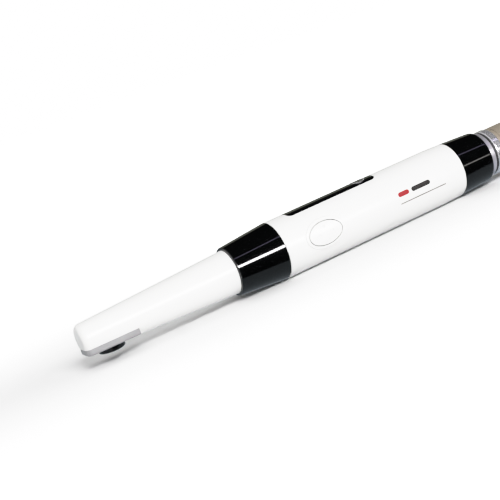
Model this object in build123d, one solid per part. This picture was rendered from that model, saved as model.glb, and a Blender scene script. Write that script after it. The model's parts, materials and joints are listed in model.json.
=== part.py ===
"""Hand-held intraoral camera, a pen-shaped dental camera handpiece.

Sizes are in millimetres. The long axis is X: the tip points to -X and the tail to +X.
The top panel faces +Z, the lens faces -Z and the oval side button faces -Y.
The origin is on the long axis, in the middle of the plain grip stretch of the barrel.
"""

import os
from math import asin, cos, degrees, pi, radians, sin, sqrt

from build123d import *

# Clearances
running_gap = 0.05
seat_gap = 0.05
part_gap = 0.1
ring_end_gap = 0.15
button_gap = 0.3
button_under_gap = 0.2

# Lengths along the axis, from the tip to the tail
nose_len = 62.5
focus_ring_len = 20.4
barrel_len = 83.8
rear_ring_len = 15.1
trim_ring_len = 2.3
seal_len = 1.0
collar_len = 3.3
sleeve_len = 14.0
grip_centre = 64.0

# Nose shell
nose_tip_r = 5.95
nose_base_r = 8.65
nose_wall = 1.2
nose_tip_wall = 1.6
nose_edge_r = 2.4
nose_socket_wall = 1.65

# Plate under the tip
plate_len = 20.7
plate_joint_drop = 3.3
plate_depth = 5.82
plate_floor = 1.1
plate_edge_r = 0.9

# Lens bezel and window
lens_set_back = 10.4
bezel_r = 5.1
bezel_height = 1.73
bezel_edge_r = 0.6
bezel_neck_r = 2.5
bezel_bore_r = 1.9
window_r = 3.3
window_thick = 0.7
window_recess = 0.15

# Lamp board in the tip
led_board_len = 15.4
led_board_width = 6.2
led_board_thick = 0.6
led_board_lift = 0.72
led_len = 1.9
led_width = 1.3
led_height = 0.6
led_pitch = 2.0
led_offset = 4.4

# Prism and its holder
prism_leg = 5.4
holder_r = 4.7
holder_front_wall = 3.2
holder_rear_wall = 5.2
holder_bore_r = 2.5

# Relay optics
relay_tube_r = 4.0
relay_tube_wall = 0.8
relay_overlap = 5.0
lens_bulge = 0.6
objective_thick = 1.8
relay_lens_thick = 2.2
imaging_lens_thick = 1.6
objective_inset = 2.5
imaging_inset = 3.5
support_len = 4.0

# Front bush, which joins nose, focus ring and barrel
nose_spigot_len = 11.6
barrel_spigot_len = 5.5
journal_r = 7.9
bush_bore_r = 5.6
seal_groove_width = 1.15
seal_groove_depth = 1.0
seal_cord_r = 0.48
seal_inset = 2.6
ribbon_channel_width = 4.6
ribbon_channel_drop = 6.2

# Focus ring
ring_front_r = 9.7
ring_front_edge_r = 0.4
ring_rear_edge_r = 0.15

# Focus carriage and its cam
carriage_front = 3.0
carriage_len = 13.0
carriage_bore_r = 4.1
cam_pin_r = 0.75
cam_pin_tip_r = 8.9
cam_groove_r = 9.1
cam_turn = 40.0
focus_travel = 1.0
cam_end_room = 3.0
sensor_side = 5.4
sensor_thick = 1.0
sensor_board_r = 5.0
sensor_board_thick = 0.8

# Barrel
barrel_r = 11.5
barrel_wall = 1.5
barrel_end_drop = 0.3
barrel_taper_len = 8.0
barrel_edge_r = 0.25

# Top panel, its round button and the silver ring
panel_start = 8.1
panel_len = 40.6
panel_width = 9.0
panel_corner_r = 2.0
panel_thick = 2.6
panel_gap = 0.1
flange_grow = 1.2
flange_thick = 1.0
top_button_inset = 6.0
top_button_r = 2.35
top_button_flange_r = 3.2
top_button_flange_thick = 0.75
top_stem_r = 1.2
trim_gap = 0.15
trim_width = 0.42
trim_proud = 0.12

# Oval side button
side_button_set = 17.1
side_button_rise = 0.75
side_button_long_r = 7.15
side_button_short_r = 4.35
side_button_proud = 0.5
side_button_edge_r = 0.35
side_flange_grow = 0.95
side_flange_thick = 0.9
side_stem_r = 1.5
side_stem_len = 1.5
side_travel = 0.6
rim_width = 1.2
rim_proud = 0.35
rim_edge_r = 0.28
dot_r = 0.9
dot_proud = 0.22
dot_spread_long = 2.8
dot_spread_short = 2.5

# Press switches
switch_side = 6.0
plunger_r = 1.6
plunger_gap = 0.1
plunger_grip = 0.9
switch_floor = 0.6
side_switch_depth = 2.2
top_switch_height = 3.5
top_plunger_rise = 1.0

# Side board
side_board_len = 13.0
side_board_height = 9.0
side_board_thick = 0.8

# Chassis, a trough inside the barrel
chassis_wall = 1.2
chassis_top_drop = 1.0
chassis_end_gap = 0.2
rib_thick = 1.5
rib_notch_half = 2.6
bracket_thick = 0.9
bracket_height = 4.5
button_window_grow = 1.2
boss_r = 1.8
boss_inset = 2.0

# Main board and what sits on it
board_len = 46.0
board_side_room = 1.7
board_thick = 1.6
board_front = 26.5
screw_front_inset = 5.3
screw_rear_inset = 5.75
screw_r = 0.75
screw_head_r = 1.4
screw_head_thick = 0.8
screw_len = 5.0
screw_hole_r = 0.9
video_chip_side = 9.0
video_chip_thick = 1.2
video_chip_set = 28.0
memory_chip_len = 7.0
memory_chip_width = 5.0
memory_chip_thick = 1.0
crystal_len = 3.2
crystal_width = 2.5
crystal_thick = 0.8
header_len = 4.0
header_height = 2.8
connector_len = 3.2
connector_width = 5.0
connector_height = 1.2
connector_inset = 0.5
crystal_set = 21.0
memory_gap = 1.0

# Flat ribbons and the inner lead
ribbon_thick = 0.25
led_ribbon_width = 4.0
led_ribbon_drop = 5.85
led_ribbon_lap = 2.0
led_ribbon_lead = 1.0
ribbon_bend_room = 2.0
ribbon_rise_len = 5.0
sensor_ribbon_width = 4.0
sensor_ribbon_slack = 2.2
sensor_ribbon_gap = 1.5
lead_r = 1.5
lead_bend_r = 15.0

# Rear bush and the rings on it
rear_spigot_len = 10.0
rear_seat_drop = 3.6
rear_journal_step = 0.5
rear_bush_wall = 1.0
rear_bush_tail = 2.0
rear_ring_drop = 0.8
rear_ring_edge_r = 1.0
trim_ring_wall = 1.4
trim_ring_edge_r = 0.4
groove_seal_wall = 1.2
groove_seal_edge_r = 0.3
collar_wall = 1.55
collar_edge_r = 0.55
sleeve_wall = 1.2
sleeve_mouth_step = 1.4
sleeve_mouth_len = 5.5
sleeve_edge_r = 0.6
sleeve_line_set = 1.4
sleeve_line_width = 0.35
sleeve_line_depth = 0.2

# Inlet socket in the tail
insert_len = 4.5
socket_nut_len = 1.8
socket_nut_wall = 2.9
contact_count = 5
contact_circle_r = 3.2
contact_r = 0.6
contact_bore_r = 0.35
contact_tail = 1.0
contact_set = 0.5
key_width = 1.6
key_depth = 0.9
key_height = 1.5

# Stations along X that follow from the lengths
x_barrel = -grip_centre
x_barrel_end = x_barrel + barrel_len
x_ring = x_barrel - focus_ring_len
x_tip = x_ring - nose_len
x_rear_ring_end = x_barrel_end + rear_ring_len
x_trim_end = x_rear_ring_end + trim_ring_len
x_seal_end = x_trim_end + seal_len
x_collar_end = x_seal_end + collar_len
x_tail = x_collar_end + sleeve_len
x_plate_end = x_tip + plate_len
x_lens = x_tip + lens_set_back
x_bush = x_ring - nose_spigot_len
x_bush_end = x_barrel + barrel_spigot_len
x_rear_bush = x_barrel_end - rear_spigot_len
x_rear_bush_end = x_collar_end + rear_bush_tail
x_cam = (x_ring + x_barrel) / 2
x_carriage = x_ring + carriage_front
x_carriage_end = x_carriage + carriage_len
x_panel = x_barrel + panel_start + panel_len / 2
x_top_button = x_panel + panel_len / 2 - top_button_inset
x_side_button = x_barrel + side_button_set
x_board = x_barrel + board_front
x_board_end = x_board + board_len
x_connector = x_board + connector_inset
x_chassis = x_bush_end + chassis_end_gap
x_chassis_end = x_rear_bush - chassis_end_gap
x_mouth = x_tail - sleeve_mouth_len
x_insert = x_mouth - insert_len

# Radii and heights that follow
barrel_bore_r = barrel_r - barrel_wall
spigot_r = barrel_bore_r - seat_gap
barrel_end_r = barrel_r - barrel_end_drop
rear_ring_end_r = barrel_end_r - rear_ring_drop
rear_seat_r = barrel_r - rear_seat_drop
rear_journal_r = rear_seat_r + rear_journal_step
rear_bore_r = rear_seat_r - rear_bush_wall
trim_ring_r = rear_seat_r + trim_ring_wall
groove_seal_r = rear_seat_r + groove_seal_wall
collar_r = rear_seat_r + collar_wall
sleeve_r = rear_seat_r + sleeve_wall
sleeve_mouth_r = rear_seat_r - sleeve_mouth_step
chassis_r = barrel_bore_r - part_gap
chassis_inner_r = chassis_r - chassis_wall
board_width = 2 * (chassis_inner_r - board_side_room)
boss_offset = board_width / 2 - boss_inset
header_width = 2 * (boss_offset - screw_head_r - part_gap)
nose_bore_r = nose_base_r - nose_socket_wall
panel_inner_r = barrel_r - panel_thick
flange_r = barrel_bore_r - part_gap
side_flange_r = barrel_bore_r - button_under_gap
side_inner_r = side_flange_r - side_flange_thick
side_stem_tip = side_inner_r - side_stem_len
bezel_face_z = -(plate_depth + bezel_height)
plate_floor_z = -(plate_depth - plate_floor)
led_board_z = plate_floor_z + led_board_lift
board_top_z = -chassis_top_drop + board_thick
top_switch_z = board_top_z + top_switch_height
top_plunger_z = top_switch_z + top_plunger_rise
side_switch_y = -(side_stem_tip - top_plunger_rise)
side_board_y = side_switch_y + side_switch_depth
bracket_y = side_board_y + side_board_thick
x_relay = x_lens + prism_leg / 2 + holder_rear_wall
x_relay_end = x_carriage + relay_overlap
cam_ratio = focus_travel / radians(cam_turn)
sensor_ribbon_y = bracket_y + bracket_thick + sensor_ribbon_gap + sensor_ribbon_width / 2

FAR = 2 * barrel_r
LOW = (Align.CENTER, Align.CENTER, Align.MIN)


def rod(x0, x1, r, y=0.0, z=0.0):
    """A round bar along X."""
    return Pos(x0, y, z) * Rot(0, 90, 0) * Cylinder(r, x1 - x0, align=LOW)


def tube(x0, x1, r_out, r_in):
    """A round tube along X, on the long axis."""
    return rod(x0, x1, r_out) - rod(x0 - 1, x1 + 1, r_in)


def post(z0, z1, r, x=0.0, y=0.0):
    """A round bar along Z."""
    return Pos(x, y, z0) * Cylinder(r, z1 - z0, align=LOW)


def cross_bar(y0, y1, r, x=0.0, z=0.0):
    """A round bar along Y."""
    return Pos(x, y0, z) * Rot(-90, 0, 0) * Cylinder(r, y1 - y0, align=LOW)


def block(x0, x1, y0, y1, z0, z1):
    """A box between two corners."""
    return Pos(x0, y0, z0) * Box(x1 - x0, y1 - y0, z1 - z0, align=(Align.MIN,) * 3)


def turned(*points):
    """A solid of revolution about the long axis, from (x, radius) corners."""
    outline = Plane.XZ * make_face(Polyline(*points, close=True))
    return revolve(outline, Axis.X)


def side_profile(points, y0, y1):
    """A flat outline of (x, z) points, given its width from y0 to y1."""
    face = Plane.XZ * make_face(Polyline(*points, close=True))
    return Pos(0, y1, 0) * extrude(face, amount=y1 - y0)


def oval_bar(x, long_r, short_r, y0, y1):
    """An oval bar along Y at the side button's height, with its long axis along X."""
    centre = (x, y1, side_button_rise)
    face = Plane(centre, x_dir=(1, 0, 0), z_dir=(0, -1, 0)) * Ellipse(long_r, short_r)
    return extrude(face, amount=y1 - y0)


def ends_by_x(shape, last=False):
    """The round edges at the front end, or at the rear end, of a turned piece."""
    return shape.edges().filter_by(GeomType.CIRCLE).group_by(Axis.X)[-1 if last else 0]


def outer_edge(shape, last=False):
    """The largest round edge at one end of a turned piece."""
    return ends_by_x(shape, last).sort_by(SortBy.RADIUS)[-1]


def nose_r_at(x):
    """Outer radius of the nose at a station."""
    return nose_tip_r + (nose_base_r - nose_tip_r) * (x - x_tip) / nose_len


def nose_blank():
    """The nose as a full solid with its rounded tip."""
    corners = [(x_tip, 0), (x_tip, nose_tip_r), (x_ring, nose_base_r), (x_ring, 0)]
    body = turned(*corners)
    return fillet(outer_edge(body), nose_edge_r)


def nose_cavity():
    """The hollow inside the nose, with the socket for the bush."""
    x_in = x_tip + nose_tip_wall
    taper = turned(
        (x_in, 0),
        (x_in, nose_r_at(x_in) - nose_wall - nose_edge_r / 2),
        (x_in + nose_edge_r / 2, nose_r_at(x_in) - nose_wall),
        (x_bush, nose_r_at(x_bush) - nose_wall),
        (x_bush, 0),
    )
    return taper + rod(x_bush - seat_gap, x_ring + 1, nose_bore_r)


def nose_shell():
    """White tapered nose, open underneath where the plate goes."""
    pocket = block(x_tip - 1, x_plate_end, -FAR, FAR, -FAR, -plate_joint_drop)
    return nose_blank() - nose_cavity() - pocket


def plate_plan(wall, x_front, edge_r, x_end):
    """The nose's outline at the plate's joint, less a wall, seen from below."""
    drop = plate_joint_drop + seat_gap
    x_mid = x_front + edge_r
    core = nose_r_at(x_mid) - wall - edge_r
    corner = []
    for turn in range(0, 91, 15):
        reach = core + edge_r * sin(radians(turn))
        half = sqrt(max(reach * reach - drop * drop, edge_r * edge_r / 100))
        corner.append((x_mid - edge_r * cos(radians(turn)), half))
    end_half = sqrt((nose_r_at(x_end) - wall) ** 2 - drop * drop)
    end = (x_end, end_half)
    slope = (x_end - x_mid, end_half - corner[-1][1])
    bend = Spline(*corner, tangents=[(0, 1), slope])
    upper = bend + Line(corner[-1], end) + Line(end, (x_end, 0)) + Line((x_front, 0), corner[0])
    return make_face(upper + mirror(upper, Plane.XZ))


def tip_plate():
    """Light plate under the tip, a shallow tub that holds lens and lamps."""
    z_joint = -(plate_joint_drop + seat_gap)
    x_end = x_plate_end - seat_gap
    plan = plate_plan(0, x_tip, nose_edge_r, x_end)
    tub = Pos(0, 0, -plate_depth) * extrude(plan, amount=plate_depth + z_joint)
    floor_edges = tub.faces().sort_by(Axis.Z)[0].edges()
    tub = fillet(floor_edges.filter_by(lambda e: e.center().X < x_end - 1), plate_edge_r)
    inner = plate_plan(nose_wall, x_tip + nose_tip_wall, nose_wall, x_end + 1)
    room = Pos(0, 0, plate_floor_z) * extrude(inner, amount=-plate_floor_z)
    hole = post(-plate_depth - 1, z_joint, bezel_neck_r + seat_gap, x_lens)
    return tub - room - hole


def lens_bezel():
    """Black bezel ring with a neck through the plate and a seat for the window."""
    flange = post(bezel_face_z, -plate_depth, bezel_r, x_lens)
    flange = fillet(flange.faces().sort_by(Axis.Z)[0].edges(), bezel_edge_r)
    neck = post(-plate_depth, plate_floor_z + seat_gap, bezel_neck_r, x_lens)
    seat_z = bezel_face_z + window_recess + window_thick
    seat = post(bezel_face_z - 1, seat_z, window_r + seat_gap, x_lens)
    return flange + neck - seat - post(bezel_face_z - 1, 0, bezel_bore_r, x_lens)


def lens_window():
    """Clear window disc in the bezel."""
    z0 = bezel_face_z + window_recess
    return post(z0, z0 + window_thick, window_r, x_lens)


def led_board():
    """Small lamp board with a hole for the bezel's neck."""
    half_len = led_board_len / 2
    half_width = led_board_width / 2
    plate = block(
        x_lens - half_len, x_lens + half_len, -half_width, half_width,
        led_board_z, led_board_z + led_board_thick,
    )
    return plate - post(led_board_z - 1, 0, bezel_neck_r + part_gap, x_lens)


def white_leds():
    """Six lamps on the underside of the lamp board, three each side of the lens."""
    lamps = Part()
    for x in (x_lens - led_offset, x_lens + led_offset):
        for row in (-1, 0, 1):
            y = row * led_pitch
            lamps += block(
                x - led_len / 2, x + led_len / 2, y - led_width / 2, y + led_width / 2,
                led_board_z - led_height, led_board_z,
            )
    return lamps


def prism_blank(grow=0.0, width=prism_leg):
    """A right-angle prism that turns the view from -Z to +X."""
    half = prism_leg / 2
    corners = [
        (x_lens - half - 2 * grow, -half - grow),
        (x_lens + half + grow, -half - grow),
        (x_lens + half + grow, half + 2 * grow),
    ]
    return side_profile(corners, -width / 2 - grow, width / 2 + grow)


def prism_holder():
    """Black holder round the prism, flat below, with a sight hole to the rear."""
    half = prism_leg / 2
    body = rod(x_lens - half - holder_front_wall, x_relay, holder_r)
    flat = block(x_tip, x_relay + 1, -FAR, FAR, -FAR, -(plate_joint_drop - part_gap))
    sight = rod(x_lens, x_relay + 1, holder_bore_r)
    below = post(-holder_r, 0, bezel_bore_r + part_gap, x_lens)
    return body - flat - prism_blank(seat_gap) - sight - below


def relay_tube():
    """Tube that carries the lenses from the prism to the focus carriage."""
    return tube(x_relay, x_relay_end, relay_tube_r, relay_tube_r - relay_tube_wall)


def lens_element(x, thick):
    """A lens with two round faces, held in the relay tube."""
    r = relay_tube_r - relay_tube_wall - seat_gap
    ball_r = (r * r + lens_bulge * lens_bulge) / (2 * lens_bulge)
    dip = ball_r - sqrt(ball_r * ball_r - r * r / 4)
    x0 = x - thick / 2
    x1 = x + thick / 2
    front = ThreePointArc((x0 - lens_bulge, 0), (x0 - lens_bulge + dip, r / 2), (x0, r))
    back = ThreePointArc((x1, r), (x1 + lens_bulge - dip, r / 2), (x1 + lens_bulge, 0))
    rim = Line((x0, r), (x1, r))
    axis_line = Line((x1 + lens_bulge, 0), (x0 - lens_bulge, 0))
    return revolve(Plane.XZ * make_face(front + rim + back + axis_line), Axis.X)


def tube_support():
    """Ring that centres the relay tube in the nose, notched for the ribbon."""
    x0 = (x_relay + x_bush - support_len) / 2
    r_out = nose_r_at(x0) - nose_wall - part_gap
    ring = tube(x0, x0 + support_len, r_out, relay_tube_r + seat_gap)
    half = ribbon_channel_width / 2
    return ring - block(x0 - 1, x0 + support_len + 1, -half, half, -FAR, -relay_tube_r)


def seal_groove(x):
    """The cutter for one seal groove on the journal of the front bush."""
    half = seal_groove_width / 2
    return tube(x - half, x + half, journal_r + 1, journal_r - seal_groove_depth)


def cam_slot():
    """The straight slot in the front bush that guides the cam pin."""
    half = cam_pin_r + running_gap
    reach = focus_travel + part_gap
    slot = block(x_cam - reach, x_cam + reach, -half, half, 0, FAR)
    return slot + post(0, FAR, half, x_cam - reach) + post(0, FAR, half, x_cam + reach)


def front_bush():
    """Metal bush: nose spigot, journal for the focus ring and barrel spigot."""
    body = rod(x_bush, x_ring, nose_bore_r - seat_gap)
    body += rod(x_ring, x_barrel, journal_r)
    body += rod(x_barrel, x_bush_end, spigot_r)
    body -= rod(x_bush - 1, x_bush_end + 1, bush_bore_r)
    half = ribbon_channel_width / 2
    body -= block(x_bush - 1, x_bush_end + 1, -half, half, -ribbon_channel_drop, 0)
    body -= cam_slot()
    for x in (x_ring + seal_inset, x_barrel - seal_inset):
        body -= seal_groove(x)
    return body


def ring_seal(x):
    """A round seal under the focus ring."""
    major = journal_r + running_gap / 2 - seal_cord_r
    return Pos(x, 0, 0) * Rot(0, 90, 0) * Torus(major, seal_cord_r)


def cam_groove():
    """Helical cutter of the cam groove, centred above the axis."""
    spread = cam_turn + degrees(asin(cam_pin_r / journal_r)) + cam_end_room
    pitch = 2 * pi * cam_ratio
    height = pitch * 2 * spread / 360
    mid_r = (journal_r + cam_groove_r) / 2
    path = Helix(pitch, height, mid_r, lefthand=True)
    width = 2 * (cam_pin_r + running_gap)
    depth = cam_groove_r - mid_r
    section = Plane(path @ 0, x_dir=(1, 0, 0), z_dir=path % 0) * Rectangle(2 * depth, width)
    cutter = sweep(section, path=path, is_frenet=True)
    level = Pos(0, 0, -height / 2) * Rot(0, 0, spread) * cutter
    return Pos(x_cam, 0, 0) * Rot(0, 90, 0) * Rot(0, 0, 180) * level


def focus_ring():
    """Black ring that turns on the front bush and moves the carriage."""
    x0 = x_ring + ring_end_gap
    x1 = x_barrel - ring_end_gap
    body = turned((x0, 0), (x0, ring_front_r), (x1, barrel_r), (x1, 0))
    body = fillet(outer_edge(body), ring_front_edge_r)
    body = fillet(outer_edge(body, last=True), ring_rear_edge_r)
    return body - rod(x0 - 1, x1 + 1, journal_r + running_gap) - cam_groove()


def focus_carriage():
    """Sliding tube that carries the image sensor behind the relay lenses."""
    body = tube(x_carriage, x_carriage_end, bush_bore_r - running_gap, carriage_bore_r)
    return body - post(0, FAR, cam_pin_r, x_cam)


def cam_pin():
    """Pin from the carriage through the slot into the ring's cam groove."""
    foot = carriage_bore_r + part_gap
    return post(foot, cam_pin_tip_r, cam_pin_r, x_cam)


def sensor_board():
    """Round board on the rear face of the carriage."""
    return rod(x_carriage_end, x_carriage_end + sensor_board_thick, sensor_board_r)


def image_sensor():
    """Square sensor on the front of its board."""
    half = sensor_side / 2
    return block(x_carriage_end - sensor_thick, x_carriage_end, -half, half, -half, half)


def panel_bar(grow, corner):
    """The outline of the top panel as a tall bar along Z."""
    plan = RectangleRounded(panel_len + 2 * grow, panel_width + 2 * grow, corner)
    return extrude(Pos(x_panel, 0, barrel_r / 3) * plan, amount=barrel_r)


def button_hole():
    """The oval opening of the barrel for the side button."""
    return oval_bar(
        x_side_button, side_button_long_r + button_gap, side_button_short_r + button_gap,
        -FAR, -barrel_r / 3,
    )


def button_rim():
    """Low raised rim round the side button."""
    grow = button_gap + rim_width
    bar = oval_bar(
        x_side_button, side_button_long_r + grow, side_button_short_r + grow, -FAR, -barrel_r / 3
    )
    x0 = x_side_button - FAR
    x1 = x_side_button + FAR
    rim = bar & tube(x0, x1, barrel_r + rim_proud, barrel_r - barrel_wall / 2)
    top = rim.faces().sort_by(Axis.Y)[0]
    return fillet(top.edges(), rim_edge_r)


def barrel():
    """White barrel with the panel opening and the side button's opening and rim."""
    x_taper = x_barrel_end - barrel_taper_len
    body = turned(
        (x_barrel, 0), (x_barrel, barrel_r), (x_taper, barrel_r),
        (x_barrel_end, barrel_end_r), (x_barrel_end, 0),
    )
    body = fillet([outer_edge(body), outer_edge(body, last=True)], barrel_edge_r)
    body += button_rim()
    body -= rod(x_barrel - 1, x_barrel_end + 1, barrel_bore_r)
    return body - button_hole() - panel_bar(panel_gap, panel_corner_r + panel_gap)


def top_panel():
    """Black curved panel with a hidden flange and a hole for the round button."""
    x0 = x_barrel
    x1 = x_barrel_end
    skin = panel_bar(0, panel_corner_r) & tube(x0, x1, barrel_r, panel_inner_r)
    flange = panel_bar(flange_grow, panel_corner_r + flange_grow)
    flange = flange & tube(x0, x1, flange_r, flange_r - flange_thick)
    hole_r = top_button_r + 2 * trim_gap + trim_width
    return skin + flange - post(0, FAR, hole_r, x_top_button)


def button_trim():
    """Thin silver ring round the top button."""
    r_in = top_button_r + trim_gap
    r_out = r_in + trim_width
    ring = post(panel_inner_r, FAR, r_out, x_top_button) - post(0, FAR + 1, r_in, x_top_button)
    return ring & rod(x_barrel, x_barrel_end, barrel_r + trim_proud)


def top_button():
    """Round black button cap with a flange and a stem."""
    x = x_top_button
    low = sqrt(panel_inner_r**2 - top_button_flange_r**2) - button_under_gap
    flange_z = low - top_button_flange_thick
    cap = post(flange_z, FAR, top_button_r, x) & rod(x_barrel, x_barrel_end, barrel_r)
    flange = post(flange_z, low, top_button_flange_r, x)
    return cap + flange + post(top_plunger_z, flange_z, top_stem_r, x)


def top_plunger():
    """Plunger of the top switch, which moves with the button."""
    return post(top_switch_z - plunger_grip, top_plunger_z, plunger_r, x_top_button)


def top_switch():
    """Press switch on the main board under the round button."""
    half = switch_side / 2
    x = x_top_button
    body = block(x - half, x + half, -half, half, board_top_z, top_switch_z)
    return body - post(board_top_z + switch_floor, FAR, plunger_r + plunger_gap, x)


def tactile_dot(along, across):
    """A small dot on the side button's face."""
    face_r = barrel_r + side_button_proud
    turn = asin((side_button_rise + across) / face_r)
    reach = face_r + dot_proud - dot_r
    return Pos(x_side_button + along, -reach * cos(turn), reach * sin(turn)) * Sphere(dot_r)


def side_button():
    """White oval button cap with a hidden flange, a stem and four dots."""
    x = x_side_button
    x0 = x - FAR
    x1 = x + FAR
    y1 = -barrel_r / 3
    cap = oval_bar(x, side_button_long_r, side_button_short_r, -FAR, y1)
    cap = cap & tube(x0, x1, barrel_r + side_button_proud, side_inner_r)
    cap = fillet(cap.faces().sort_by(Axis.Y)[0].edges(), side_button_edge_r)
    long_r = side_button_long_r + side_flange_grow
    short_r = side_button_short_r + side_flange_grow
    flange = oval_bar(x, long_r, short_r, -FAR, y1) & tube(x0, x1, side_flange_r, side_inner_r)
    stem = cross_bar(-side_flange_r, -side_stem_tip, side_stem_r, x, side_button_rise)
    dots = [(-dot_spread_long, 0), (dot_spread_long, 0), (0, -dot_spread_short), (0, dot_spread_short)]
    body = cap + flange + stem
    for along, across in dots:
        body += tactile_dot(along, across)
    return body


def side_plunger():
    """Plunger of the side switch, which moves with the button."""
    y1 = side_switch_y + plunger_grip
    return cross_bar(-side_stem_tip, y1, plunger_r, x_side_button, side_button_rise)


def side_switch():
    """Press switch on the side board."""
    half = switch_side / 2
    x = x_side_button
    z = side_button_rise
    body = block(x - half, x + half, side_switch_y, side_board_y, z - half, z + half)
    hole = cross_bar(-FAR, side_board_y - switch_floor, plunger_r + plunger_gap, x, z)
    return body - hole


def side_board():
    """Small upright board behind the side button."""
    half_len = side_board_len / 2
    half_height = side_board_height / 2
    x = x_side_button
    return block(x - half_len, x + half_len, side_board_y, bracket_y, -half_height, half_height)


def rib_stations():
    """Front faces of the chassis ribs."""
    mid = (x_board + x_board_end) / 2
    return [x_chassis + 1, x_board - rib_thick, mid, x_chassis_end - 1 - rib_thick]


def screw_places():
    """Centres of the four board screws."""
    stations = (x_board + screw_front_inset, x_board_end - screw_rear_inset)
    return [(x, side * boss_offset) for x in stations for side in (-1, 1)]


def chassis():
    """Black trough with ribs, a bracket for the side board and four screw bosses."""
    trough = tube(x_chassis, x_chassis_end, chassis_r, chassis_inner_r)
    fill = rod(x_chassis, x_chassis_end, chassis_inner_r + chassis_wall / 2)
    ribs = Part()
    for x in rib_stations():
        for side in (-1, 1):
            y0, y1 = sorted((side * rib_notch_half, side * FAR))
            ribs += fill & block(x, x + rib_thick, y0, y1, -FAR, 0)
    for x, y in screw_places():
        ribs += fill & post(-FAR, 0, boss_r, x, y)
    body = trough + ribs
    body -= block(x_chassis - 1, x_chassis_end + 1, -FAR, FAR, -chassis_top_drop, FAR)
    x0, x1 = rib_stations()[:2]
    wall = block(x0, x1 + rib_thick, bracket_y, bracket_y + bracket_thick, -FAR, bracket_height)
    body += wall & rod(x0, x1 + rib_thick, chassis_inner_r + chassis_wall / 2)
    for x, y in screw_places():
        pilot = post(-FAR, FAR, screw_r + seat_gap, x, y)
        body -= pilot & rod(x - boss_r, x + boss_r, chassis_inner_r)
    window = oval_bar(
        x_side_button,
        side_button_long_r + side_flange_grow + button_window_grow,
        side_button_short_r + side_flange_grow + button_window_grow,
        -FAR, -side_stem_tip + side_travel,
    )
    return body - window


def main_board():
    """Main board on the ribs of the chassis."""
    half = board_width / 2
    plate = block(x_board, x_board_end, -half, half, -chassis_top_drop, board_top_z)
    for x, y in screw_places():
        plate -= post(-FAR, FAR, screw_hole_r, x, y)
    return plate


def board_screws():
    """Four screws that hold the main board on its bosses."""
    screws = Part()
    for x, y in screw_places():
        head = post(board_top_z, board_top_z + screw_head_thick, screw_head_r, x, y)
        screws += head + post(board_top_z - screw_len, board_top_z, screw_r, x, y)
    return screws


def on_board(x, y, length, width, height):
    """A box-shaped component on top of the main board."""
    return block(
        x - length / 2, x + length / 2, y - width / 2, y + width / 2,
        board_top_z, board_top_z + height,
    )


def video_chip():
    """Square video processor."""
    x = x_board + video_chip_set
    return on_board(x, 0, video_chip_side, video_chip_side, video_chip_thick)


def memory_chip():
    """Memory chip beside the video processor."""
    x = x_board + video_chip_set + (video_chip_side + memory_chip_width) / 2 + memory_gap
    return on_board(x, 0, memory_chip_width, memory_chip_len, memory_chip_thick)


def crystal():
    """Clock crystal in a metal can."""
    x = x_board + crystal_set
    return on_board(x, board_width / 3, crystal_width, crystal_len, crystal_thick)


def board_header():
    """Header at the rear end of the main board, where the inner lead starts."""
    return on_board(x_board_end - header_len / 2, 0, header_len, header_width, header_height)


def sensor_connector():
    """Connector for the sensor ribbon, on top of the main board's front end."""
    return on_board(
        x_connector + connector_len / 2, sensor_ribbon_y, connector_len,
        connector_width, connector_height,
    )


def ribbon_connector():
    """Connector for the lamp ribbon, under the main board's front end."""
    x1 = x_connector + connector_len
    half = connector_width / 2
    z1 = -chassis_top_drop
    return block(x_connector, x1, -half, half, z1 - connector_height, z1)


def ribbon(points, y_mid, width):
    """A flat ribbon of even thickness along a route of (x, z) points."""
    flat = Plane.XZ * trace(Polyline(*points), ribbon_thick)
    return Pos(0, y_mid + width / 2, 0) * extrude(flat, amount=width)


def led_ribbon():
    """Ribbon from the lamp board along the nose to the main board."""
    half = ribbon_thick / 2
    x_board_tail = x_lens + led_board_len / 2
    z_start = led_board_z - half
    z_end = -chassis_top_drop - connector_height / 2
    x_rise_end = x_connector - ribbon_bend_room
    route = [
        (x_board_tail - led_ribbon_lap, z_start),
        (x_board_tail + led_ribbon_lead, z_start),
        (x_bush - ribbon_bend_room, -led_ribbon_drop),
        (x_rise_end - ribbon_rise_len, -led_ribbon_drop),
        (x_rise_end, z_end),
        (x_connector, z_end),
    ]
    return ribbon(route, 0, led_ribbon_width)


def sensor_ribbon():
    """Ribbon with spare length from the sensor board to the main board."""
    x0 = x_carriage_end + sensor_board_thick
    z_end = board_top_z + connector_height / 2
    span = x_connector - x0
    route = [
        (x0, 0),
        (x0 + span * 0.2, 0),
        (x0 + span * 0.35, sensor_ribbon_slack),
        (x0 + span * 0.6, sensor_ribbon_slack),
        (x0 + span * 0.75, z_end),
        (x0 + span, z_end),
    ]
    return ribbon(route, sensor_ribbon_y, sensor_ribbon_width)


def socket_lead():
    """Round inner lead from the main board's header to the inlet socket."""
    z0 = board_top_z + header_height / 2
    span = x_insert - x_board_end
    route = [
        (x_board_end, 0, z0),
        (x_board_end + span / 3, 0, z0),
        (x_board_end + span * 2 / 3, 0, 0),
        (x_insert, 0, 0),
    ]
    path = FilletPolyline(*route, radius=lead_bend_r)
    section = Plane(path @ 0, z_dir=path % 0) * Circle(lead_r)
    return sweep(section, path=path)


def rear_bush():
    """Metal bush that joins the barrel, the rear rings and the sleeve."""
    body = rod(x_rear_bush, x_barrel_end, spigot_r)
    body += rod(x_barrel_end, x_rear_ring_end, rear_journal_r)
    body += rod(x_rear_ring_end, x_rear_bush_end, rear_seat_r)
    return body - rod(x_rear_bush - 1, x_rear_bush_end + 1, rear_bore_r)


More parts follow.
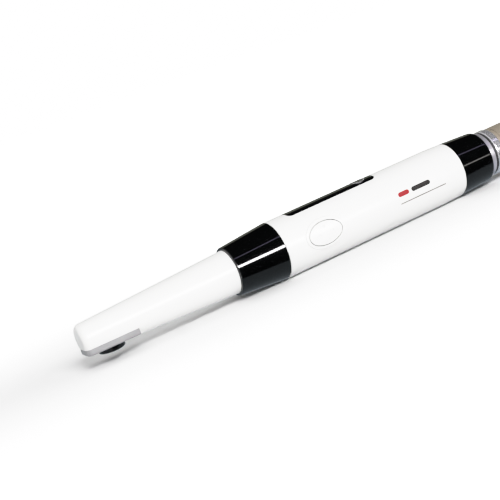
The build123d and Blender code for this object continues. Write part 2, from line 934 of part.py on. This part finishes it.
def rear_ring():
    """Black ring behind the barrel, fixed on the rear bush."""
    body = turned(
        (x_barrel_end, 0), (x_barrel_end, barrel_end_r),
        (x_rear_ring_end, rear_ring_end_r), (x_rear_ring_end, 0),
    )
    body = fillet(outer_edge(body, last=True), rear_ring_edge_r)
    return body - rod(x_barrel_end - 1, x_rear_ring_end + 1, rear_journal_r + seat_gap)


def seat_ring(x0, x1, r, edge_r):
    """A ring on the rear bush with both outer edges rounded."""
    body = rod(x0, x1, r)
    body = fillet(body.edges().filter_by(GeomType.CIRCLE), edge_r)
    return body - rod(x0 - 1, x1 + 1, rear_seat_r + seat_gap)


def rear_sleeve():
    """Metal sleeve at the tail, with a fine turned line and the inlet's mouth."""
    body = rod(x_collar_end, x_tail, sleeve_r)
    body = fillet(outer_edge(body, last=True), sleeve_edge_r)
    x_line = x_collar_end + sleeve_line_set
    body -= tube(x_line, x_line + sleeve_line_width, sleeve_r + 1, sleeve_r - sleeve_line_depth)
    body -= rod(x_collar_end - 1, x_mouth, rear_seat_r + seat_gap)
    return body - rod(x_mouth - 1, x_tail + 1, sleeve_mouth_r)


def contact_places():
    """Centres of the socket contacts, spread over a circle."""
    turns = [radians(90 + 360 * i / contact_count) for i in range(contact_count)]
    return [(contact_circle_r * cos(a), contact_circle_r * sin(a)) for a in turns]


def socket_insert():
    """Black socket insert with a hole for each contact and a key slot."""
    body = rod(x_insert, x_mouth, rear_seat_r)
    for y, z in contact_places():
        body -= rod(x_insert - 1, x_mouth + 1, contact_r + seat_gap, y, z)
    half = key_width / 2
    key_top = key_height - sleeve_mouth_r
    key = block(x_mouth - key_depth, x_mouth + 1, -half, half, -sleeve_mouth_r, key_top)
    return body - key


def socket_contacts():
    """Brass contact tubes of the socket."""
    contacts = Part()
    for y, z in contact_places():
        bar = rod(x_insert - contact_tail, x_mouth - contact_set, contact_r, y, z)
        contacts += bar - rod(x_insert + 1, x_mouth + 1, contact_bore_r, y, z)
    return contacts


def socket_nut():
    """Ring nut that clamps the insert against the sleeve's mouth."""
    return tube(x_insert - socket_nut_len, x_insert, rear_seat_r, rear_seat_r - socket_nut_wall)


def make_parts():
    """Every piece by name."""
    x_objective = x_relay + objective_inset
    x_imaging = x_relay_end - imaging_inset
    x_middle = (x_objective + x_imaging) / 2
    return {
        "nose_shell": nose_shell(),
        "tip_plate": tip_plate(),
        "lens_bezel": lens_bezel(),
        "lens_window": lens_window(),
        "led_board": led_board(),
        "white_leds": white_leds(),
        "prism": prism_blank(),
        "prism_holder": prism_holder(),
        "relay_tube": relay_tube(),
        "objective_lens": lens_element(x_objective, objective_thick),
        "relay_lens": lens_element(x_middle, relay_lens_thick),
        "imaging_lens": lens_element(x_imaging, imaging_lens_thick),
        "tube_support": tube_support(),
        "front_bush": front_bush(),
        "ring_seal_front": ring_seal(x_ring + seal_inset),
        "ring_seal_rear": ring_seal(x_barrel - seal_inset),
        "focus_ring": focus_ring(),
        "focus_carriage": focus_carriage(),
        "cam_pin": cam_pin(),
        "image_sensor": image_sensor(),
        "sensor_board": sensor_board(),
        "barrel": barrel(),
        "top_panel": top_panel(),
        "button_trim": button_trim(),
        "top_button": top_button(),
        "top_plunger": top_plunger(),
        "top_switch": top_switch(),
        "side_button": side_button(),
        "side_plunger": side_plunger(),
        "side_switch": side_switch(),
        "side_board": side_board(),
        "chassis": chassis(),
        "main_board": main_board(),
        "board_screws": board_screws(),
        "video_chip": video_chip(),
        "memory_chip": memory_chip(),
        "crystal": crystal(),
        "board_header": board_header(),
        "sensor_connector": sensor_connector(),
        "sensor_ribbon": sensor_ribbon(),
        "ribbon_connector": ribbon_connector(),
        "led_ribbon": led_ribbon(),
        "socket_lead": socket_lead(),
        "rear_bush": rear_bush(),
        "rear_ring": rear_ring(),
        "trim_ring": seat_ring(x_rear_ring_end, x_trim_end, trim_ring_r, trim_ring_edge_r),
        "groove_seal": seat_ring(x_trim_end, x_seal_end, groove_seal_r, groove_seal_edge_r),
        "chrome_collar": seat_ring(x_seal_end, x_collar_end, collar_r, collar_edge_r),
        "rear_sleeve": rear_sleeve(),
        "socket_insert": socket_insert(),
        "socket_contacts": socket_contacts(),
        "socket_nut": socket_nut(),
    }


os.makedirs("parts", exist_ok=True)
for name, shape in make_parts().items():
    export_step(shape, f"parts/{name}.step")
    print(name, round(shape.volume, 1))
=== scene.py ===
"""Looks for the intraoral camera: materials, a plain printed mark, light, floor and camera."""

import json
from math import cos, pi, radians, sin

import bpy
from mathutils import Matrix, Vector


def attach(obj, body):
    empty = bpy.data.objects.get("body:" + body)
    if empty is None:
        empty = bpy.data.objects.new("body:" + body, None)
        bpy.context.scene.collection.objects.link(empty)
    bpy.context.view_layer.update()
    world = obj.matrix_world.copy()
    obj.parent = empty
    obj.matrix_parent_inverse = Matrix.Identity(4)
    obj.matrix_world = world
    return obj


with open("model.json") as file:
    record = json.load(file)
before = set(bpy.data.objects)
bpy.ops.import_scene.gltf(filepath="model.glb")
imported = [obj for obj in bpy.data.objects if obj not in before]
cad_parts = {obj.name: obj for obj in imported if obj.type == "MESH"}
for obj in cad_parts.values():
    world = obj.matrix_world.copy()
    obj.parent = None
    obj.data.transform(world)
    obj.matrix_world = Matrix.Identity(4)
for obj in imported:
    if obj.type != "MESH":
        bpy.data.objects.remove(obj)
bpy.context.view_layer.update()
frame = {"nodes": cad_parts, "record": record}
nodes = frame["nodes"]

MM = 0.001
BARREL_R = 11.5 * MM
FLOOR_Z = -11.5 * MM
WHITE = 2.0  # scene brightness that shows as pure white


# Shared helpers

def add_mesh(name, verts, faces, look):
    """A mesh object with one material, in the scene's collection."""
    mesh = bpy.data.meshes.new(name)
    mesh.from_pydata(verts, [], faces)
    mesh.materials.append(look)
    obj = bpy.data.objects.new(name, mesh)
    bpy.context.scene.collection.objects.link(obj)
    return obj


def map_range(tree, value, from_min, from_max, to_min, to_max):
    """A clamped linear map of a value."""
    node = tree.nodes.new("ShaderNodeMapRange")
    node.inputs["From Min"].default_value = from_min
    node.inputs["From Max"].default_value = from_max
    node.inputs["To Min"].default_value = to_min
    node.inputs["To Max"].default_value = to_max
    tree.links.new(value, node.inputs["Value"])
    return node.outputs["Result"]


# Materials

NOISE_SPAN = (0.3, 0.7)  # where nearly all of a noise texture's values lie
COLOR_SPAN = (0.35, 0.65)  # narrower, so that both tones show
INK_ROUGH = 0.4


def new_material(name, color, rough, **sockets):
    """A principled material. Sockets are named by their labels with underscores for spaces."""
    mat = bpy.data.materials.new(name)
    mat.use_nodes = True
    shader = mat.node_tree.nodes["Principled BSDF"]
    shader.inputs["Base Color"].default_value = (*color, 1)
    shader.inputs["Roughness"].default_value = rough
    for label, value in sockets.items():
        shader.inputs[label.replace("_", " ")].default_value = value
    return mat


def place(tree, stretch=(1, 1, 1), shift=(0, 0, 0)):
    """Object coordinates, stretched and then shifted."""
    coords = tree.nodes.new("ShaderNodeTexCoord")
    mapping = tree.nodes.new("ShaderNodeMapping")
    mapping.inputs["Scale"].default_value = stretch
    mapping.inputs["Location"].default_value = shift
    tree.links.new(coords.outputs["Object"], mapping.inputs["Vector"])
    return mapping.outputs["Vector"]


def noise(tree, scale, detail, stretch=(1, 1, 1)):
    """A noise texture in object space. Scale is in features per metre."""
    tex = tree.nodes.new("ShaderNodeTexNoise")
    tex.inputs["Scale"].default_value = scale
    tex.inputs["Detail"].default_value = detail
    tree.links.new(place(tree, stretch), tex.inputs["Vector"])
    return tex.outputs["Fac"]


def vary_color(mat, value, first, second):
    """Base colour between two tones by a texture value."""
    tree = mat.node_tree
    ramp = tree.nodes.new("ShaderNodeValToRGB")
    for stop, position, tone in zip(ramp.color_ramp.elements, COLOR_SPAN, (first, second)):
        stop.position = position
        stop.color = (*tone, 1)
    tree.links.new(value, ramp.inputs["Fac"])
    tree.links.new(ramp.outputs["Color"], tree.nodes["Principled BSDF"].inputs["Base Color"])


def vary_rough(mat, value, low, high):
    """Roughness between two values by a texture value."""
    tree = mat.node_tree
    spread = map_range(tree, value, *NOISE_SPAN, low, high)
    tree.links.new(spread, tree.nodes["Principled BSDF"].inputs["Roughness"])


def add_bump(mat, value, strength, height):
    """Surface relief from a texture value. Height is in metres."""
    tree = mat.node_tree
    bump = tree.nodes.new("ShaderNodeBump")
    bump.inputs["Strength"].default_value = strength
    bump.inputs["Distance"].default_value = height
    tree.links.new(value, bump.inputs["Height"])
    tree.links.new(bump.outputs["Normal"], tree.nodes["Principled BSDF"].inputs["Normal"])


def gloss_plastic(name, first, second, rough, specular):
    """Moulded gloss plastic: faint mottling, soft orange peel and uneven polish."""
    mat = new_material(name, first, rough, Specular_IOR_Level=specular)
    tree = mat.node_tree
    vary_color(mat, noise(tree, scale=70, detail=3), first, second)
    vary_rough(mat, noise(tree, scale=240, detail=4), rough * 0.92, rough * 1.08)
    add_bump(mat, noise(tree, scale=380, detail=1), strength=0.015, height=0.01 * MM)
    return mat


def moulded(name, first, second, rough):
    """Moulded plastic with a fine grain."""
    mat = new_material(name, first, rough)
    tree = mat.node_tree
    vary_color(mat, noise(tree, scale=900, detail=3), first, second)
    vary_rough(mat, noise(tree, scale=600, detail=3), rough * 0.85, rough * 1.15)
    add_bump(mat, noise(tree, scale=2600, detail=3), strength=0.25, height=0.02 * MM)
    return mat


def turned_metal(name, first, second, rough, lines, strength, metal):
    """Turned metal: fine rings round the long axis and a little mottling."""
    mat = new_material(name, first, rough, Metallic=metal)
    tree = mat.node_tree
    rings = noise(tree, lines, detail=3, stretch=(1, 0.02, 0.02))
    vary_color(mat, noise(tree, scale=160, detail=3), first, second)
    vary_rough(mat, rings, rough * 0.8, rough * 1.2)
    add_bump(mat, rings, strength, height=0.01 * MM)
    return mat


def clear_glass(name, tint):
    """Optical glass with a faint coating tint."""
    mat = new_material(name, tint, 0.02, Transmission_Weight=1.0, IOR=1.5)
    vary_rough(mat, noise(mat.node_tree, scale=500, detail=3), 0.0, 0.04)
    return mat


def ink(name, first, second):
    """Printed ink with a little unevenness."""
    mat = new_material(name, first, INK_ROUGH, Specular_IOR_Level=0.15)
    tree = mat.node_tree
    vary_color(mat, noise(tree, scale=1500, detail=3), first, second)
    vary_rough(mat, noise(tree, scale=900, detail=3), INK_ROUGH * 0.85, INK_ROUGH * 1.15)
    return mat


# name: kind, two tones, roughness, then the specular level of a gloss plastic,
# or a turned metal's lines in features per metre, strength of relief and metallic share
LOOKS = {
    "white_shell": (gloss_plastic, (0.755, 0.751, 0.742), (0.761, 0.757, 0.749), 0.3, 0.25),
    "pale_plate": (gloss_plastic, (0.285, 0.28, 0.288), (0.30, 0.295, 0.303), 0.32, 0.5),
    "black_gloss": (
        gloss_plastic, (0.0008, 0.0009, 0.0010), (0.0012, 0.0013, 0.0014), 0.07, 0.5
    ),
    "black_inner": (moulded, (0.018, 0.018, 0.019), (0.026, 0.026, 0.027), 0.55),
    "bright_chrome": (
        turned_metal, (0.80, 0.79, 0.83), (0.86, 0.85, 0.88), 0.2, 3000, 0.012, 0.8
    ),
    "pale_metal": (
        turned_metal, (0.55, 0.53, 0.58), (0.60, 0.58, 0.63), 0.34, 4000, 0.15, 0.7
    ),
    "champagne_metal": (
        turned_metal, (0.33, 0.285, 0.225), (0.36, 0.31, 0.25), 0.4, 5000, 0.2, 0.35
    ),
    "bush_metal": (
        turned_metal, (0.62, 0.63, 0.64), (0.68, 0.68, 0.69), 0.3, 3500, 0.3, 1.0
    ),
    "black_metal": (
        turned_metal, (0.03, 0.03, 0.033), (0.04, 0.04, 0.043), 0.4, 3500, 0.2, 1.0
    ),
    "steel": (turned_metal, (0.5, 0.5, 0.51), (0.56, 0.56, 0.57), 0.3, 3500, 0.2, 1.0),
    "contact_brass": (
        turned_metal, (0.72, 0.52, 0.2), (0.78, 0.57, 0.24), 0.24, 3500, 0.1, 1.0
    ),
    "seal_rubber": (moulded, (0.012, 0.012, 0.013), (0.02, 0.02, 0.021), 0.6),
    "lead_rubber": (moulded, (0.03, 0.03, 0.032), (0.042, 0.042, 0.044), 0.6),
    "optic_glass": (clear_glass, (0.93, 0.96, 0.99)),
    "board_green": (moulded, (0.015, 0.11, 0.05), (0.025, 0.15, 0.07), 0.35),
    "lamp_white": (moulded, (0.82, 0.76, 0.5), (0.88, 0.84, 0.62), 0.4),
    "chip_black": (moulded, (0.015, 0.015, 0.016), (0.024, 0.024, 0.025), 0.5),
    "connector_cream": (moulded, (0.62, 0.56, 0.43), (0.68, 0.62, 0.5), 0.45),
    "plunger_white": (moulded, (0.66, 0.66, 0.63), (0.72, 0.72, 0.7), 0.4),
    "ribbon_amber": (moulded, (0.42, 0.17, 0.025), (0.5, 0.22, 0.04), 0.3),
}

look_of = {name: kind(name, *values) for name, (kind, *values) in LOOKS.items()}
slot_of = {part["node"]: part["material_slot"] for part in frame["record"]["subparts"]}
for node, obj in nodes.items():
    look = look_of[slot_of[node]]
    if not obj.material_slots:
        obj.data.materials.append(look)
    for slot in obj.material_slots:
        slot.material = look


# Printed mark on the barrel

PRINT_LIFT = 0.012 * MM
PRINT_COLUMNS = 60
END_COLUMNS = 24  # extra columns in each round end
PRINT_ROWS = 8
MIN_REACH2 = 1e-6  # keeps the very end of a bar from closing to a point

# name, from x and to x in mm, roll up from -Y in degrees, height in mm, ink
PRINTS = (
    ("print_red_bar", -12.4, -7.2, 9.5, 1.9,
     ink("ink_red", (0.25, 0.003, 0.006), (0.28, 0.005, 0.008))),
    ("print_grey_bar", -6.0, 3.0, 9.5, 1.9,
     ink("ink_grey", (0.008, 0.006, 0.005), (0.012, 0.009, 0.008))),
    ("print_fine_line", -12.4, 9.6, -8.5, 0.45,
     ink("ink_soft", (0.12, 0.11, 0.1), (0.15, 0.14, 0.13))),
)


def print_bar(name, x0, x1, roll, height, look):
    """A thin printed bar with round ends, wrapped on the barrel."""
    half = height / 2
    round_end = [half * (1 - cos(pi / 2 * i / END_COLUMNS)) for i in range(END_COLUMNS)]
    columns = [x0 + (x1 - x0) * i / PRINT_COLUMNS for i in range(PRINT_COLUMNS + 1)]
    columns += [x0 + step for step in round_end] + [x1 - step for step in round_end]
    columns = sorted(set(round(x, 4) for x in columns))
    r = BARREL_R + PRINT_LIFT
    verts = []
    for x in columns:
        inset = max(x0 + half - x, x - (x1 - half), 0.0)
        reach = max(half * half - inset * inset, MIN_REACH2) ** 0.5
        for row in range(PRINT_ROWS + 1):
            turn = radians(roll) + reach * MM * (2 * row / PRINT_ROWS - 1) / BARREL_R
            verts.append((x * MM, -r * cos(turn), r * sin(turn)))
    faces = []
    for i in range(len(columns) - 1):
        for row in range(PRINT_ROWS):
            a = i * (PRINT_ROWS + 1) + row
            faces.append((a, a + PRINT_ROWS + 1, a + PRINT_ROWS + 2, a + 1))
    obj = add_mesh(name, verts, faces, look)
    obj.data.polygons.foreach_set("use_smooth", [True] * len(faces))
    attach(obj, "handpiece")


for row in PRINTS:
    print_bar(*row)


# Camera, at the photograph's angle

RIGHT = Vector((0.84079, -0.42628, -0.33371))
UP = Vector((0.38602, 0.03989, 0.92162))
CAMERA_AT = Vector((-257.76, -439.00, 100.54)) * MM
SENSOR_MM = 36
FOCAL_PX = 1300
PICTURE_PX = 500

camera = bpy.data.objects.new("camera", bpy.data.cameras.new("camera"))
camera.data.sensor_width = SENSOR_MM
camera.data.lens = SENSOR_MM * FOCAL_PX / PICTURE_PX
camera.data.clip_start = 0.01
camera.data.clip_end = 30
turn = Matrix((RIGHT, UP, RIGHT.cross(UP))).transposed()
camera.matrix_world = Matrix.Translation(CAMERA_AT) @ turn.to_4x4()
bpy.context.scene.collection.objects.link(camera)
bpy.context.scene.camera = camera


# Pale floor with painted light: a glow that is nil near the object and grows further out, so
# that the floor round the object stays darker and far out runs into the white behind it

FLOOR_WHITE = (0.88, 0.88, 0.88)
FLOOR_RINGS = (0.05, 0.1, 0.2, 0.4, 0.8, 1.4)  # radii in metres
FLOOR_SIDES = 96
# painted light: the floor's own glow, none near the object and rising outwards; these set the
# shape of the darker area round it
PAINTED_GLOW_STRETCH = (0.2, 1, 1)  # the area without glow is longest along the object
PAINTED_GLOW_SHIFT = (0, -0.015, 0)  # and reaches further behind it than in front
PAINTED_GLOW_START = 0.034  # metres
PAINTED_GLOW_END = 0.12
PAINTED_GLOW_MAX = 2.0


def floor_with_painted_glow():
    """Matt white paper with painted light: an emission glow that grows with the distance from
    the object, leaving the floor round the object darker.
    """
    mat = new_material("floor_pale", FLOOR_WHITE, 0.9, Specular_IOR_Level=0.0)
    tree = mat.node_tree
    shader = tree.nodes["Principled BSDF"]
    shader.inputs["Emission Color"].default_value = (1, 1, 1, 1)
    length = tree.nodes.new("ShaderNodeVectorMath")
    length.operation = "LENGTH"
    tree.links.new(place(tree, PAINTED_GLOW_STRETCH, PAINTED_GLOW_SHIFT), length.inputs[0])
    # painted light: emission on the floor, zero near the object and growing with the distance
    # from it
    glow = map_range(tree, length.outputs["Value"], PAINTED_GLOW_START, PAINTED_GLOW_END, 0.0, PAINTED_GLOW_MAX)
    tree.links.new(glow, shader.inputs["Emission Strength"])
    return mat


def make_floor():
    """A flat round floor built from rings round a middle point."""
    verts = [(0, 0, FLOOR_Z)]
    for reach in FLOOR_RINGS:
        for i in range(FLOOR_SIDES):
            a = 2 * pi * i / FLOOR_SIDES
            verts.append((reach * cos(a), reach * sin(a), FLOOR_Z))
    faces = [(0, 1 + i, 1 + (i + 1) % FLOOR_SIDES) for i in range(FLOOR_SIDES)]
    for ring in range(len(FLOOR_RINGS) - 1):
        inner = 1 + ring * FLOOR_SIDES
        outer = inner + FLOOR_SIDES
        for i in range(FLOOR_SIDES):
            j = (i + 1) % FLOOR_SIDES
            faces.append((inner + i, outer + i, outer + j, inner + j))
    floor = add_mesh("floor", verts, faces, floor_with_painted_glow())
    floor.visible_glossy = False


make_floor()


# Light: soft boxes light the surfaces, and strips and cards show only in gloss

LIGHT_TARGET = Vector((-0.05, 0, 0))  # m
STRIP_TARGET = Vector((-20, 0, 0))  # mm

# name, place in m, size in m, power in W
SOFT_BOXES = (
    ("front_light", (-0.10, -0.80, 0.60), (0.5, 0.35), 9.8),
    ("top_light", (-0.05, 0.05, 1.0), (0.6, 0.6), 2.4),
)

# name, start, end and width in mm, radiance, colour
STRIPS = (
    ("long_strip", (-260, -440, 200), (190, -440, 68), 60, 60, (1.0, 0.98, 1.0)),
    ("far_strip", (190, -440, 68), (620, -440, -60), 26, 5, (1.0, 0.97, 0.92)),
    ("thin_strip", (-160, -200, 272), (520, -200, 272), 14, 3.0, (0.75, 0.68, 1.0)),
)

# corners in mm, just above the floor, under the object and behind it
LOW_CARD = ((-200, -20, -11), (120, -20, -11), (120, 200, -11), (-200, 200, -11))
LOW_CARD_RADIANCE = 0.42
LOW_CARD_COLOR = (0.8, 0.92, 1.0)

# upright behind the object; name, bottom and top in mm, radiance
BACK_CARDS = (
    ("back_card_low", -10, 60, 0.16),
    ("back_card_high", 60, 250, 0.42),
)
BACK_CARD_ENDS = (-500, 900)
BACK_CARD_Y = 400
BACK_CARD_COLOR = (0.98, 1.0, 0.85)


def soft_box(name, at, size, power):
    """A rectangular soft light that doesn't show in reflections."""
    data = bpy.data.lights.new(name, "AREA")
    data.shape = "RECTANGLE"
    data.size, data.size_y = size
    data.energy = power
    obj = bpy.data.objects.new(name, data)
    obj.location = at
    obj.rotation_euler = (obj.location - LIGHT_TARGET).to_track_quat("Z", "Y").to_euler()
    obj.visible_glossy = False
    obj.visible_camera = False
    bpy.context.scene.collection.objects.link(obj)


def card(name, corners, radiance, color):
    """A glowing card that shows only in gloss. Corners are in mm."""
    mat = bpy.data.materials.new(name)
    mat.use_nodes = True
    tree = mat.node_tree
    tree.nodes.clear()
    glow = tree.nodes.new("ShaderNodeEmission")
    glow.inputs["Color"].default_value = (*color, 1)
    glow.inputs["Strength"].default_value = radiance
    surface = tree.nodes.new("ShaderNodeOutputMaterial").inputs["Surface"]
    tree.links.new(glow.outputs["Emission"], surface)
    obj = add_mesh(name, [Vector(corner) * MM for corner in corners], [(0, 1, 2, 3)], mat)
    obj.visible_camera = False
    obj.visible_diffuse = False
    obj.visible_shadow = False
    obj.visible_transmission = False


def strip(name, start, end, width, radiance, color):
    """A long narrow card between two points, turned to the object."""
    a = Vector(start)
    b = Vector(end)
    facing = STRIP_TARGET - (a + b) / 2
    half = (b - a).cross(facing).normalized() * width / 2
    card(name, [a - half, b - half, b + half, a + half], radiance, color)


for row in SOFT_BOXES:
    soft_box(*row)
for row in STRIPS:
    strip(*row)
card("low_card", LOW_CARD, LOW_CARD_RADIANCE, LOW_CARD_COLOR)
for name, low, high, radiance in BACK_CARDS:
    left, right = BACK_CARD_ENDS
    outline = ((left, low), (right, low), (right, high), (left, high))
    card(name, [(x, BACK_CARD_Y, z) for x, z in outline], radiance, BACK_CARD_COLOR)


# World: one brightness for diffuse light, a sky on one side for gloss, white behind the floor

DIFFUSE_SKY = 0.42
SKY_START = -0.1  # X of the direction where the sky in gloss starts to brighten
SKY_END = -0.5
GLOSS_DARK = 0.004
GLOSS_BRIGHT = 0.75


def either(tree, choice, off, on):
    """One of two values by a ray type. Each is a number or a socket."""
    node = tree.nodes.new("ShaderNodeMix")
    tree.links.new(choice, node.inputs["Factor"])
    for label, value in (("A", off), ("B", on)):
        if isinstance(value, float):
            node.inputs[label].default_value = value
        else:
            tree.links.new(value, node.inputs[label])
    return node.outputs["Result"]


def make_world():
    """The studio round the object."""
    world = bpy.data.worlds.new("studio")
    world.use_nodes = True
    tree = world.node_tree
    rays = tree.nodes.new("ShaderNodeLightPath").outputs
    heading = tree.nodes.new("ShaderNodeTexCoord")
    split = tree.nodes.new("ShaderNodeSeparateXYZ")
    tree.links.new(heading.outputs["Generated"], split.inputs["Vector"])
    side_sky = map_range(
        tree, split.outputs["X"], SKY_START, SKY_END, GLOSS_DARK, GLOSS_BRIGHT
    )
    lit = either(tree, rays["Is Glossy Ray"], DIFFUSE_SKY, side_sky)
    seen = either(tree, rays["Is Camera Ray"], lit, WHITE)
    background = tree.nodes["Background"]
    background.inputs["Color"].default_value = (1, 1, 1, 1)
    tree.links.new(seen, background.inputs["Strength"])
    bpy.context.scene.world = world


make_world()


# Tone curve: straight up to mid grey, then a soft shoulder that holds the whites apart

# scene brightness, shown brightness
SHOULDER = (
    (0.3, 0.3), (0.6, 0.6), (0.8, 0.765), (1.0, 0.865), (1.25, 0.93), (1.5, 0.962), (1.8, 0.99)
)

view = bpy.context.scene.view_settings
view.view_transform = "Standard"
view.look = "None"
view.use_curve_mapping = True
curves = view.curve_mapping
curves.white_level = (WHITE, WHITE, WHITE)
combined = curves.curves[3]
for brightness, shown in SHOULDER:
    combined.points.new(brightness / WHITE, shown)
curves.update()
